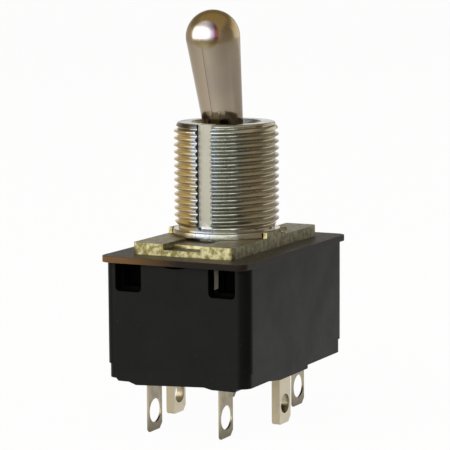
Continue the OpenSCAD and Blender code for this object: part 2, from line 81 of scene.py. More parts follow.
# Bushing, in mm
THREAD_R = 5.95
THREAD_PITCH = 0.794
THREAD_DEPTH = 0.48
THREAD_PHASE = 0.155            # height of a crest over the +X side, above the plate
CREST_SHARE = 0.16              # part of the pitch that is crest
ROOT_SHARE = 0.12
FLANK_ROUNDING = 0.35           # how far the straight flanks are eased into crest and root
CROWN_H = 0.85
CROWN_CHAMFER = 0.5
RIM_R = 0.2
CROWN_ROUND = ((0, RIM_R), (0.05, 0.09), (0.12, 0.025), (0.22, 0))      # (in from the rim, down)
COLLAR_H = 0.7
RELIEF_H = 0.35
COLLAR_ROUND = 0.18
COLLAR_CHAMFER = 0.06
MOUTH_D = 7.8
MOUTH_ROUND = 0.15
THROAT_D = 5.0
THROAT_CHAMFER = (0.05, 0.1)
HOLLOW_D = 8.4
SEAT_D = 5.9
SEAT_EASE = 8                   # degrees from the throat's edge to where the ball's seat starts
HOLLOW_DROP = 1.0               # the hollow starts to widen this far below the pivot
SPIGOT_D = 10.0
STAKE_D = 10.7
PLATE_T = 1.3
STAKE_H = 0.4
STAKE_CHAMFER = 0.1
STAKE_GAP = 0.02                # between the staked lip and the plate
BUSHING_SIDES = 144
ROWS_PER_TURN = 12
KEYWAY_W = 1.8
KEYWAY_DEPTH = 0.75
KEYWAY_Y = KEYWAY_DEPTH - THREAD_R
EAR_L = 4.8
EAR_T = 0.47
EAR_GAP = 0.02                  # round an ear in the flat that it keys into
FLAT_START = 0.05               # the flats start this far under the face that the panel lies on
CLEAR = 8.0                     # well outside the bushing, for the shapes that cut it

# Meshes: points closer than a weld are merged; angles between faces in degrees
WELD = 0.002 * MM
FINE_WELD = 0.0005 * MM
FLAT_ANGLE = 0.6                # faces closer in angle than this become one
EDGE_ANGLE = 28                 # edges sharper than this are softened
EDGE_STEPS = 3
SHARP_ANGLE = 40                # edges sharper than this stay sharp on the turned pieces
CUT_SHARP_ANGLE = 32            # the same on the bushing, for its keyway and thread

# Staking mark on the right ear, in mm: half sizes, place, and each ring's (share of the size, height)
STAKE_HALF = (1.0, 0.36)
STAKE_SPOT = (1.8, -0.12)       # along the ear, and up from its top
STAKE_RINGS = ((1.0, -0.02), (0.93, 0.05), (0.8, 0.075), (0.66, 0.05), (0.5, 0.0), (0.25, -0.015))
STAKE_SINK = 0.1                # how deep its back lies in the ear
STAKE_SIDES = 40

# Floor in mm: its flat part, the round that rolls up from it, and the height of the backdrop
FLOOR_R = 900
SWEEP_R = 300
WALL_H = 450

# Camera, a long lens a quarter of a metre away, in degrees and mm
AZIMUTH = 26.792
ELEVATION = 7.482
ROLL = -0.366
CAMERA_FAR = 247.698
CAMERA_SHIFT = (-0.219, 0.920)
LENS = 174.43
SENSOR = 36.0

# Finishes: places in metres from the frame, as their nodes read them
# painted highlight on the ball: its centre, and the way across it of its painted reflection bands
HIGHLIGHT_SPOT = (0.48 * MM, -6.10 * MM, 22.75 * MM)
BANDS_RUN = (0.893, 0.451, 0)   # direction across the patch, from pale to red
CASE_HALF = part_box("case_moulding")[1]

# Colours and shares of finishes
ROOM_TONE = "#a39c92"
CASE_GLOSS = 0.125              # what an exported model shows, where a linked gloss is dropped
GLOW_SHARE = 0.965              # part of the paper's light that is its own, the rest shows the shadow
FORE_TURN = 20                  # the darker paper in front starts on a line turned by this much

# Input sockets by number, where Blender gives several of them one name
VALUE, LOW, HIGH, TO_LOW, TO_HIGH = range(5)    # Map Range
FACTOR, FIRST, SECOND = 0, 6, 7                 # Mix of two colours

# Settings that every node of a kind gets
USUAL = {"Mix": {"data_type": "RGBA"}}


# ---- small helpers ----

def linear(hex_colour):
    """Linear RGBA from an sRGB hex colour."""
    parts = [int(hex_colour[i:i + 2], 16) / 255 for i in (1, 3, 5)]
    return [c / 12.92 if c <= 0.04045 else ((c + 0.055) / 1.055) ** 2.4 for c in parts] + [1.0]


def add_node(tree, kind, inputs=None, stops=None, **settings):
    """Adds a node with its settings and links; stops fill a colour ramp.

    An input is a plain value, a hex colour, an output, or a node, which stands for its first live output.
    """
    node = tree.nodes.new(kind if "Node" in kind else "ShaderNode" + kind)
    for name, value in {**USUAL.get(kind, {}), **settings}.items():
        setattr(node, name, value)
    for name, value in (inputs or {}).items():
        if isinstance(value, bpy.types.Node):
            value = next(socket for socket in value.outputs if socket.enabled)
        if isinstance(value, bpy.types.NodeSocket):
            tree.links.new(value, node.inputs[name])
        else:
            node.inputs[name].default_value = linear(value) if isinstance(value, str) else value
    if stops:
        points = node.color_ramp.elements
        while len(points) < len(stops):
            points.new(1.0)
        for point, (place, colour) in zip(points, stops):
            point.position = place
            point.color = linear(colour)
    return node


def new_object(name, mesh):
    """A mesh object in the scene."""
    piece = bpy.data.objects.new(name, mesh)
    bpy.context.scene.collection.objects.link(piece)
    return piece


def mesh_from_bmesh(name, form):
    """A mesh datablock from a bmesh, which is freed."""
    mesh = bpy.data.meshes.new(name)
    form.to_mesh(mesh)
    form.free()
    return mesh


def smooth(mesh, angle):
    """Smooth faces with the edges over this angle kept sharp."""
    form = bmesh.new()
    form.from_mesh(mesh)
    for face in form.faces:
        face.smooth = True
    for edge in form.edges:
        edge.smooth = edge.is_manifold and edge.calc_face_angle(0.0) < math.radians(angle)
    form.to_mesh(mesh)
    form.free()


def settle(piece):
    """Turns a piece with live modifiers into a plain mesh."""
    view = bpy.context.evaluated_depsgraph_get()
    plain = bpy.data.meshes.new_from_object(piece.evaluated_get(view))
    plain.name = piece.name
    piece.modifiers.clear()
    piece.data = plain
    return piece


def finish_piece(piece, body, slot, material, *nodes):
    """Gives a piece its material, its body and the CAD nodes that it stands for."""
    piece.data.materials.clear()
    piece.data.materials.append(material)
    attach(piece, body)
    if nodes:
        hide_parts(*nodes)


def lathe(name, outline, sides):
    """Turns (radius, height) points in mm about Z; a radius of 0 makes a pole."""
    form = bmesh.new()
    rings = []
    for radius, height in outline:
        if radius == 0:
            rings.append([form.verts.new((0, 0, height * MM))])
            continue
        turn = [math.tau * i / sides for i in range(sides)]
        rings.append([form.verts.new((radius * math.cos(a) * MM, radius * math.sin(a) * MM, height * MM))
                      for a in turn])
    for low, high in zip(rings, rings[1:]):
        for i in range(sides):
            j = (i + 1) % sides
            corners = [low[i % len(low)], low[j % len(low)], high[j % len(high)], high[i % len(high)]]
            form.faces.new(list(dict.fromkeys(corners)))
    return mesh_from_bmesh(name, form)


def arc(centre, radius, start, end, steps):
    """Points on an arc in (radius, height), angles in degrees from the radius axis."""
    angles = [math.radians(start + (end - start) * i / steps) for i in range(steps + 1)]
    return [(centre[0] + radius * math.cos(a), centre[1] + radius * math.sin(a)) for a in angles]


def outward(mesh):
    """Merges doubles and points every face outwards."""
    form = bmesh.new()
    form.from_mesh(mesh)
    bmesh.ops.remove_doubles(form, verts=form.verts, dist=FINE_WELD)
    bmesh.ops.recalc_face_normals(form, faces=form.faces)
    form.to_mesh(mesh)
    form.free()


# ---- pieces ----

def soft_edged(node, width):
    """A copy of a CAD node with its edges broken by a small round of this width in mm."""
    source = frame["nodes"][node].data
    form = bmesh.new()
    form.from_mesh(source)
    bmesh.ops.remove_doubles(form, verts=form.verts, dist=WELD)
    bmesh.ops.dissolve_limit(form, angle_limit=math.radians(FLAT_ANGLE), verts=form.verts,
                             edges=form.edges)
    piece = new_object(node + "_finished", mesh_from_bmesh(node + "_finished", form))
    bevel = piece.modifiers.new("soft_edges", "BEVEL")
    bevel.width = width * MM
    bevel.segments = EDGE_STEPS
    bevel.limit_method = "ANGLE"
    bevel.angle_limit = math.radians(EDGE_ANGLE)
    bevel.use_clamp_overlap = True
    bevel.miter_outer = "MITER_ARC"
    settle(piece)
    for face in piece.data.polygons:
        face.use_smooth = True
    weigh = piece.modifiers.new("flat_faces_first", "WEIGHTED_NORMAL")
    weigh.weight = 100
    weigh.keep_sharp = False
    return settle(piece)


def lever_profile():
    """Outline of the bat lever along its own axis, from the tail to the tip, in mm from the pivot."""
    low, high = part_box("bat_lever")
    tip_r = (high.x - low.x) / 2 / MM
    length = ((high.z - PIVOT.z) / MM - tip_r) / math.cos(LEAN)
    slope = math.atan((tip_r - NECK_D / 2) / (length - NECK_LEN))
    touch = (tip_r * math.cos(slope), length - tip_r * math.sin(slope))
    ball_r = PIVOT_BALL_D / 2
    foot_r = touch[0] - touch[1] * math.tan(slope)
    neck_z = math.sqrt(ball_r ** 2 - (foot_r + BALL_STEP) ** 2)
    ball_top = math.degrees(math.atan2(neck_z, foot_r + BALL_STEP))
    tail_top = -math.degrees(math.acos(TAIL_D / 2 / ball_r))
    foot = (foot_r + SHAFT_FOOT[0], neck_z + SHAFT_FOOT[1])
    taper = [(touch[0] + (foot[0] - touch[0]) * (1 - s), touch[1] * s + foot[1] * (1 - s))
             for s in (0, 0.2, 0.4, 0.6, 0.8)]
    profile = [(0, -TAIL_LEN), (TAIL_D / 2 - TAIL_CHAMFER, -TAIL_LEN),
               (TAIL_D / 2, -TAIL_LEN + TAIL_CHAMFER)]
    profile += arc((0, 0), ball_r, tail_top, ball_top, 20) + taper
    profile += arc((0, length), tip_r, -math.degrees(slope), TIP_END, 30) + [(0, length + tip_r)]
    return profile


def bat_lever():
    """Polished bat lever as one smooth turned form, leaning as the CAD one does."""
    mesh = lathe("bat_lever_polished", lever_profile(), LEVER_SIDES)
    mesh.transform(Matrix.Translation(PIVOT) @ Matrix.Rotation(LEAN, 4, "X"))
    outward(mesh)
    smooth(mesh, SHARP_ANGLE)
    piece = new_object("bat_lever_polished", mesh)
    finish_piece(piece, "lever", "nickel_plated_lever", bright_nickel(), "bat_lever")


def thread_sockets(tree):
    """Names the inputs and the output of the thread's tree, and returns the inputs as sockets."""
    lengths = ("Crest Radius", "Depth", "Pitch", "Phase", "Bottom", "Relief", "Top", "Crown Radius",
               "Crown Slope", "Turns")
    kinds = {name: "NodeSocketFloat" for name in lengths}
    kinds.update({"Sides": "NodeSocketInt", "Rows": "NodeSocketInt", "Material": "NodeSocketMaterial"})
    for name, kind in kinds.items():
        tree.interface.new_socket(name, in_out="INPUT", socket_type=kind)
    tree.interface.new_socket("Geometry", in_out="OUTPUT", socket_type="NodeSocketGeometry")
    return add_node(tree, "NodeGroupInput").outputs


def helix_height(tree, given, share, climb):
    """Height of a point: one pitch a turn from under the first crest, held between bottom and top."""
    start = add_node(tree, "Math", {0: given["Phase"], 1: given["Pitch"]}, operation="SUBTRACT")
    turned = add_node(tree, "Math", {0: climb, 1: share}, operation="ADD")
    free = add_node(tree, "Math", {0: turned, 1: given["Pitch"], 2: start}, operation="MULTIPLY_ADD")
    held = add_node(tree, "Math", {0: free, 1: given["Bottom"]}, operation="MAXIMUM")
    return add_node(tree, "Math", {0: held, 1: given["Top"]}, operation="MINIMUM")


def helix_radius(tree, given, share, height):
    """Radius of a point: crest, flank or root, cut back by the crown's chamfer and the relief groove."""
    # distance from the nearest crest, in pitches, gives the depth below it
    over = add_node(tree, "Math", {0: height, 1: given["Phase"]}, operation="SUBTRACT")
    turns_up = add_node(tree, "Math", {0: over, 1: given["Pitch"]}, operation="DIVIDE")
    here = add_node(tree, "Math", {0: turns_up, 1: share}, operation="SUBTRACT")
    off_crest = add_node(tree, "Math", {0: here, 1: 0.5}, operation="PINGPONG")
    flank = {VALUE: off_crest, LOW: CREST_SHARE / 2, HIGH: 0.5 - ROOT_SHARE / 2}
    eased = add_node(tree, "MapRange", flank, interpolation_type="SMOOTHSTEP")
    straight = add_node(tree, "MapRange", flank)
    rest = add_node(tree, "Math", {0: straight, 1: 1 - FLANK_ROUNDING}, operation="MULTIPLY")
    blend = add_node(tree, "Math", {0: eased, 1: FLANK_ROUNDING, 2: rest}, operation="MULTIPLY_ADD")
    sunk = add_node(tree, "Math", {0: blend, 1: given["Depth"]}, operation="MULTIPLY")
    wound = add_node(tree, "Math", {0: given["Crest Radius"], 1: sunk}, operation="SUBTRACT")
    # the top is chamfered and the bottom runs out in a relief groove
    under_top = add_node(tree, "Math", {0: given["Top"], 1: height}, operation="SUBTRACT")
    crown = add_node(tree, "Math", {0: under_top, 1: given["Crown Slope"], 2: given["Crown Radius"]},
                     operation="MULTIPLY_ADD")
    root = add_node(tree, "Math", {0: given["Crest Radius"], 1: given["Depth"]}, operation="SUBTRACT")
    past_relief = add_node(tree, "Math", {0: height, 1: given["Relief"]}, operation="SUBTRACT")
    rise = add_node(tree, "Math", {0: past_relief, 1: 0.0}, operation="MAXIMUM")
    lead = add_node(tree, "Math", {0: root, 1: rise}, operation="ADD")
    chamfered = add_node(tree, "Math", {0: wound, 1: crown}, operation="MINIMUM")
    return add_node(tree, "Math", {0: chamfered, 1: lead}, operation="MINIMUM")


def thread_tree():
    """Geometry Nodes tree of a screw thread: a grid whose rows follow the helix, trimmed at both ends."""
    tree = bpy.data.node_groups.new("screw_thread", "GeometryNodeTree")
    given = thread_sockets(tree)
    columns = add_node(tree, "Math", {0: given["Sides"], 1: 1}, operation="ADD")
    steps = add_node(tree, "Math", {0: given["Turns"], 1: given["Rows"]}, operation="MULTIPLY")
    rows = add_node(tree, "Math", {0: steps, 1: 1}, operation="ADD")
    grid = add_node(tree, "GeometryNodeMeshGrid", {"Size X": 1.0, "Size Y": 1.0, "Vertices X": columns,
                                                   "Vertices Y": rows})
    place = add_node(tree, "SeparateXYZ", {0: add_node(tree, "GeometryNodeInputPosition")})
    share = add_node(tree, "Math", {0: place.outputs["X"], 1: 0.5}, operation="ADD")
    lift = add_node(tree, "Math", {0: place.outputs["Y"], 1: 0.5}, operation="ADD")
    climb = add_node(tree, "Math", {0: lift, 1: given["Turns"]}, operation="MULTIPLY")
    height = helix_height(tree, given, share, climb)
    radius = helix_radius(tree, given, share, height)
    angle = add_node(tree, "Math", {0: share, 1: math.tau}, operation="MULTIPLY")
    along = add_node(tree, "Math", {0: angle}, operation="COSINE")
    aside = add_node(tree, "Math", {0: angle}, operation="SINE")
    x = add_node(tree, "Math", {0: radius, 1: along}, operation="MULTIPLY")
    y = add_node(tree, "Math", {0: radius, 1: aside}, operation="MULTIPLY")
    spot = add_node(tree, "CombineXYZ", {"X": x, "Y": y, "Z": height})
    wound = add_node(tree, "GeometryNodeSetPosition", {"Geometry": grid, "Position": spot})
    welded = add_node(tree, "GeometryNodeMergeByDistance", {"Geometry": wound, "Distance": WELD})
    real = add_node(tree, "GeometryNodeRealizeInstances", {"Geometry": welded})
    finish = add_node(tree, "GeometryNodeSetMaterial", {"Geometry": real, "Material": given["Material"]})
    add_node(tree, "NodeGroupOutput", {"Geometry": finish})
    return tree


def rim_radius():
    """Radius of the crown's chamfer where its rounded rim starts, in mm."""
    return THREAD_R - CROWN_CHAMFER * (1 - RIM_R / CROWN_H)


def wind_thread(material):
    """The outside of the bushing from the collar to the crown, as a plain mesh."""
    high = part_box("threaded_bushing")[1]
    sizes = {"Crest Radius": THREAD_R * MM, "Depth": THREAD_DEPTH * MM, "Pitch": THREAD_PITCH * MM,
             "Phase": THREAD_PHASE * MM, "Bottom": COLLAR_H * MM, "Relief": (COLLAR_H + RELIEF_H) * MM,
             "Top": high.z - RIM_R * MM, "Crown Radius": rim_radius() * MM,
             "Crown Slope": CROWN_CHAMFER / CROWN_H, "Turns": math.ceil(high.z / MM / THREAD_PITCH) + 2,
             "Sides": BUSHING_SIDES, "Rows": ROWS_PER_TURN, "Material": material}
    tree = thread_tree()
    piece = new_object("screw_thread", bpy.data.meshes.new("screw_thread"))
    wind = piece.modifiers.new("wind", "NODES")
    wind.node_group = tree
    for item in tree.interface.items_tree:
        if item.in_out == "INPUT":
            wind[item.identifier] = sizes[item.name]
    return settle(piece)


def bushing_rest():
    """Outline of all but the thread: crown, mouth, ball seat, hollow, staked lip, spigot and collar."""
    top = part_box("threaded_bushing")[1].z / MM
    collar_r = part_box("threaded_bushing")[1].y / MM
    rim = rim_radius()
    mouth_r = MOUTH_D / 2
    pivot_z = PIVOT.z / MM
    seat_r = SEAT_D / 2
    throat_z = pivot_z + math.sqrt(seat_r ** 2 - (THROAT_D / 2) ** 2)
    stake_z = -PLATE_T - STAKE_H
    outline = [(rim - x, top - z) for x, z in CROWN_ROUND]
    outline += arc((mouth_r + MOUTH_ROUND, top - MOUTH_ROUND), MOUTH_ROUND, 90, 180, 3)
    outline += [(THROAT_D / 2 + THROAT_CHAMFER[0], throat_z + THROAT_CHAMFER[1]), (THROAT_D / 2, throat_z)]
    outline += arc((0, pivot_z), seat_r, math.degrees(math.acos(THROAT_D / 2 / seat_r)) - SEAT_EASE, 0, 6)
    widening = pivot_z - HOLLOW_DROP
    outline += [(seat_r, widening), (HOLLOW_D / 2, widening - (HOLLOW_D / 2 - seat_r)),
                (HOLLOW_D / 2, stake_z)]
    lip_top = -PLATE_T - STAKE_GAP
    outline += [(STAKE_D / 2 - STAKE_CHAMFER, stake_z), (STAKE_D / 2, stake_z + STAKE_CHAMFER),
                (STAKE_D / 2, lip_top), (SPIGOT_D / 2, lip_top), (SPIGOT_D / 2, 0),
                (collar_r - COLLAR_CHAMFER, 0), (collar_r, COLLAR_CHAMFER)]
    outline += arc((collar_r - COLLAR_ROUND, COLLAR_H - COLLAR_ROUND), COLLAR_ROUND, 0, 90, 4)
    outline += [(THREAD_R - THREAD_DEPTH, COLLAR_H)]
    return outline


def box_mesh(name, low, high):
    """Closed block between two corners in mm, for cutting."""
    form = bmesh.new()
    bmesh.ops.create_cube(form, size=1)
    centre = (Vector(low) + Vector(high)) / 2
    size = Vector(high) - Vector(low)
    for vert in form.verts:
        vert.co = Vector([(centre[i] + vert.co[i] * size[i]) * MM for i in range(3)])
    return new_object(name, mesh_from_bmesh(name, form))


def keyway_cutter():
    """Flat-floored keyway with a milled run-out at its foot."""
    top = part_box("threaded_bushing")[1].z / MM + 1
    foot = COLLAR_H + KEYWAY_DEPTH
    side = [(-CLEAR, top), (KEYWAY_Y, top), (KEYWAY_Y, foot)]
    side += [(-THREAD_R + x, z) for x, z in arc((0, foot), KEYWAY_DEPTH, 0, -90, 10)[1:]]
    side += [(-CLEAR, COLLAR_H)]
    form = bmesh.new()
    left, right = [[form.verts.new((x * KEYWAY_W * MM, y * MM, z * MM)) for y, z in side]
                   for x in (-0.5, 0.5)]
    form.faces.new(left)
    form.faces.new(right[::-1])
    for i in range(len(side)):
        j = (i + 1) % len(side)
        form.faces.new([left[j], left[i], right[i], right[j]])
    bmesh.ops.recalc_face_normals(form, faces=form.faces)
    return new_object("keyway_cutter", mesh_from_bmesh("keyway_cutter", form))


def cut_away(piece, cutters):
    """Cuts closed shapes out of a piece and removes them."""
    for cutter in cutters:
        cut = piece.modifiers.new("cut", "BOOLEAN")
        cut.operation = "DIFFERENCE"
        cut.solver = "EXACT"
        cut.object = cutter
    settle(piece)
    for cutter in cutters:
        bpy.data.objects.remove(cutter)


def threaded_bushing():
    """Bushing with its real helical thread, keyway and the flats that the plate's ears key into."""
    material = yellowed_nickel()
    thread = wind_thread(material)
    rest = lathe("bushing_rest", bushing_rest(), BUSHING_SIDES)
    form = bmesh.new()
    form.from_mesh(thread.data)
    form.from_mesh(rest)
    bpy.data.objects.remove(thread)
    piece = new_object("threaded_bushing_cut", mesh_from_bmesh("threaded_bushing_cut", form))
    outward(piece.data)
    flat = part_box("mounting_plate")[1].x / MM - EAR_T
    half = EAR_L / 2 + EAR_GAP
    ear_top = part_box("mounting_plate")[1].z / MM + EAR_GAP
    flats = [box_mesh("flat_cutter", (low, -half, -FLAT_START), (high, half, ear_top))
             for low, high in ((-CLEAR, -flat), (flat, CLEAR))]
    cut_away(piece, [keyway_cutter()] + flats)
    smooth(piece.data, CUT_SHARP_ANGLE)
    finish_piece(piece, "frame", "nickel_plated_bushing", material, "threaded_bushing")


def stake_ring(form, spread, face_x):
    """One oval ring of the staking mark, at this x in mm."""
    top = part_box("mounting_plate")[1].z / MM
    ring = []
    for i in range(STAKE_SIDES):
        a = math.tau * i / STAKE_SIDES
        y = STAKE_SPOT[0] + STAKE_HALF[0] * spread * math.cos(a)
        z = top + STAKE_SPOT[1] + STAKE_HALF[1] * spread * math.sin(a)
        ring.append(form.verts.new((face_x * MM, y * MM, z * MM)))
    return ring


def stake_mark(material):
    """Oval staking mark on the outer side of the right ear: a raised lip round a shallow dimple."""
    ear_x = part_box("mounting_plate")[1].x / MM
    form = bmesh.new()
    rings = [stake_ring(form, STAKE_RINGS[0][0], ear_x - STAKE_SINK)]
    rings += [stake_ring(form, spread, ear_x + lift) for spread, lift in STAKE_RINGS]
    for outer, inner in zip(rings, rings[1:]):
        for i in range(STAKE_SIDES):
            j = (i + 1) % STAKE_SIDES
            form.faces.new([outer[i], outer[j], inner[j], inner[i]])
    form.faces.new(rings[-1])
    form.faces.new(rings[0][::-1])
    bmesh.ops.recalc_face_normals(form, faces=form.faces)
    piece = new_object("ear_stake_right", mesh_from_bmesh("ear_stake_right", form))
    smooth(piece.data, SHARP_ANGLE)
    finish_piece(piece, "frame", "zinc_plated_steel", material)


# ---- materials ----

def surface(name):
    """A new empty material: itself, its tree, its object coordinates and its object-space normal."""
    material = bpy.data.materials.new(name)
    material.use_nodes = True
    material.node_tree.nodes.clear()
    place = add_node(material.node_tree, "TexCoord")
    return material, material.node_tree, place.outputs["Object"], place.outputs["Normal"]


def plated_shaft(tree, where, place):
    """Cloudy nickel with painted reflections: a lighter -X half, a fine dark line where the halves meet,
    and browner towards the ball.
    """
    cloud = add_node(tree, "TexNoise", {"Vector": where, "Scale": 1 / (5.0 * MM), "Detail": 4.0})
    tone = add_node(tree, "MapRange", {VALUE: cloud, LOW: 0.35, HIGH: 0.65})
    base = add_node(tree, "Mix", {FACTOR: tone, FIRST: "#a89b88", SECOND: "#9c9182"})
    # painted reflection: the -X half is lighter, and a fine dark line runs where the halves meet
    left_reflection = add_node(tree, "MapRange", {VALUE: place.outputs["X"], LOW: 0.03 * MM, HIGH: -0.03 * MM})
    base = add_node(tree, "Mix", {FACTOR: left_reflection, FIRST: base, SECOND: "#ad9f8b"})
    reflection_line = add_node(tree, "Math", {0: place.outputs["X"], 1: 0.04 * MM, 2: 0.045 * MM},
                    operation="COMPARE")
    base = add_node(tree, "Mix", {FACTOR: reflection_line, FIRST: base, SECOND: "#857a68"})
    # painted reflection of a warm ceiling: browner towards the ball
    crown = add_node(tree, "MapRange", {VALUE: place.outputs["Z"], LOW: 21.0 * MM, HIGH: 25.5 * MM})
    return add_node(tree, "Mix", {FACTOR: crown, FIRST: base, SECOND: "#a08547"})


def painted_highlight_patch(tree, where, place):
    """Round painted highlight on the ball: where it is, and its painted reflection in bands from pale to
    red, yellow-brown below.
    """
    off = add_node(tree, "VectorMath", {0: where, 1: HIGHLIGHT_SPOT}, operation="DISTANCE")
    highlight_mask = add_node(tree, "MapRange", {VALUE: off, LOW: 1.75 * MM, HIGH: 1.45 * MM})
    beside = add_node(tree, "VectorMath", {0: where, 1: BANDS_RUN}, operation="DOT_PRODUCT")
    step = add_node(tree, "MapRange", {VALUE: beside, LOW: -4.0 * MM, HIGH: -0.6 * MM})
    bands = add_node(tree, "ValToRGB", {0: step}, [(0.0, "#dcd6c6"), (0.55, "#e4e0e6"), (0.7, "#a8a0b0"),
                                                   (0.84, "#5c3a40"), (1.0, "#7e3c24")])
    drop = add_node(tree, "MapRange", {VALUE: place.outputs["Z"], LOW: 22.35 * MM, HIGH: 22.0 * MM,
                                       TO_LOW: 0.0, TO_HIGH: 0.85})
    return highlight_mask, add_node(tree, "Mix", {FACTOR: drop, FIRST: bands, SECOND: "#8d7a42"})


def bright_nickel():
    """Bright nickel over turned brass: mirror-like and warm, hazier on the ball, with painted reflections
    and a painted highlight, and a painted dark reflection at the mouth.
    """
    material, tree, where, _ = surface("bright_nickel")
    place = add_node(tree, "SeparateXYZ", {0: where})
    highlight_mask, painted_reflection = painted_highlight_patch(tree, where, place)
    shaft = plated_shaft(tree, where, place)
    warm = add_node(tree, "Mix", {FACTOR: highlight_mask, FIRST: shaft, SECOND: painted_reflection})
    # painted dark reflection of the bushing's mouth, stronger down towards the bushing
    neck = add_node(tree, "MapRange", {VALUE: place.outputs["Z"], LOW: 14.2 * MM, HIGH: 12.6 * MM,
                                       TO_LOW: 0.0, TO_HIGH: 0.55})
    toned = add_node(tree, "Mix", {FACTOR: neck, FIRST: warm, SECOND: "#4d4436"})
    wipe = add_node(tree, "TexNoise", {"Vector": where, "Scale": 1 / (1.3 * MM), "Detail": 6.0})
    haze = add_node(tree, "MapRange", {VALUE: wipe, LOW: 0.3, HIGH: 0.75, TO_LOW: 0.07, TO_HIGH: 0.18})
    ball = add_node(tree, "MapRange", {VALUE: place.outputs["Z"], LOW: 20.8 * MM, HIGH: 22.0 * MM,
                                       TO_LOW: 0.0, TO_HIGH: 0.17})
    haze = add_node(tree, "Math", {0: haze, 1: ball}, operation="ADD")
    lumps = add_node(tree, "Bump", {"Height": wipe, "Distance": 0.002 * MM})
    shader = add_node(tree, "BsdfPrincipled", {"Base Color": toned, "Roughness": haze, "Normal": lumps,
                                               "Metallic": 1.0})
    add_node(tree, "OutputMaterial", {"Surface": shader})
    return material


def keyway_masks(tree, place):
    """Masks of the keyway's floor and of its two walls."""
    aside = add_node(tree, "Math", {0: place.outputs["X"]}, operation="ABSOLUTE")
    front = add_node(tree, "Math", {0: place.outputs["Y"], 1: -3.0 * MM}, operation="LESS_THAN")
    inside = add_node(tree, "Math", {0: aside, 1: (KEYWAY_W / 2 - 0.02) * MM}, operation="LESS_THAN")
    deep = add_node(tree, "MapRange", {VALUE: place.outputs["Y"], LOW: (KEYWAY_Y - 0.06) * MM,
                                       HIGH: (KEYWAY_Y + 0.02) * MM})
    floor = add_node(tree, "Math", {0: inside, 1: deep}, operation="MULTIPLY")
    floor = add_node(tree, "Math", {0: floor, 1: front}, operation="MULTIPLY")
    wall = add_node(tree, "Math", {0: aside, 1: KEYWAY_W / 2 * MM, 2: 0.02 * MM}, operation="COMPARE")
    wall = add_node(tree, "Math", {0: wall, 1: front}, operation="MULTIPLY")
    return floor, wall


def grooves_and_painted_shade(tree, where, place, across):
    """Darker deep in the grooves, and painted shade over the crown and the collar on the golden side that
    the window lights.
    """
    flat = add_node(tree, "VectorMath", {0: where, 1: (1, 1, 0)}, operation="MULTIPLY")
    radius = add_node(tree, "VectorMath", {0: flat}, operation="LENGTH")
    low = add_node(tree, "MapRange", {VALUE: radius, LOW: (THREAD_R - 0.38) * MM,
                                      HIGH: (THREAD_R - 0.5) * MM, TO_LOW: 0.0, TO_HIGH: 0.35})
    # painted shade over the crown's top and the collar's foot
    top = add_node(tree, "MapRange", {VALUE: place.outputs["Z"], LOW: 11.9 * MM, HIGH: 12.3 * MM,
                                      TO_LOW: 0.0, TO_HIGH: 0.95})
    foot = add_node(tree, "MapRange", {VALUE: place.outputs["Z"], LOW: 0.8 * MM, HIGH: 0.65 * MM,
                                       TO_LOW: 0.0, TO_HIGH: 0.6})
    ends = add_node(tree, "Math", {0: top, 1: foot}, operation="MAXIMUM")
    shaded = add_node(tree, "MapRange", {VALUE: across, LOW: 0.3, HIGH: 0.55, TO_LOW: 1.0, TO_HIGH: 0.1})
    ends = add_node(tree, "Math", {0: ends, 1: shaded}, operation="MULTIPLY")
    return add_node(tree, "Math", {0: ends, 1: low}, operation="MAXIMUM")


def cut_metal(tree, where, place, across, grit):
    """Colour of the bushing outside the keyway's floor: tarnished colour and painted reflection from side
    to side, specks, darker grooves and painted shade on crown and collar.
    """
    # painted reflection with tarnished colour: golden on the window side, bluish silver by the keyway, grey
    # with a lighter band on the far side
    tarnish_and_reflection = add_node(tree, "ValToRGB", {0: across}, [
        (0.0, "#d2ba84"), (0.3, "#d4c190"), (0.42, "#d2dcea"), (0.55, "#bcc6d0"),
        (0.66, "#a8aca2"), (0.8, "#a8aaa0"), (0.9, "#b4aa93"), (1.0, "#a29b88")])
    speck = add_node(tree, "MapRange", {VALUE: grit, LOW: 0.66, HIGH: 0.74})
    specked = add_node(tree, "Mix", {FACTOR: speck, FIRST: tarnish_and_reflection, SECOND: "#4e4430"})
    darkening = grooves_and_painted_shade(tree, where, place, across)
    return add_node(tree, "Mix", {FACTOR: darkening, FIRST: specked, SECOND: "#5c5442"})


def milled_floor(tree, place, grit):
    """Colour of the keyway's floor: grey-green, scraped white in flakes near its foot."""
    scraped = add_node(tree, "MapRange", {VALUE: place.outputs["Z"], LOW: 2.0 * MM, HIGH: 1.3 * MM})
    flaky = add_node(tree, "MapRange", {VALUE: grit, LOW: 0.45, HIGH: 0.55})
    flaky = add_node(tree, "Math", {0: scraped, 1: flaky}, operation="MULTIPLY")
    return add_node(tree, "Mix", {FACTOR: flaky, FIRST: "#bbb9a6", SECOND: "#e4e6e2"})


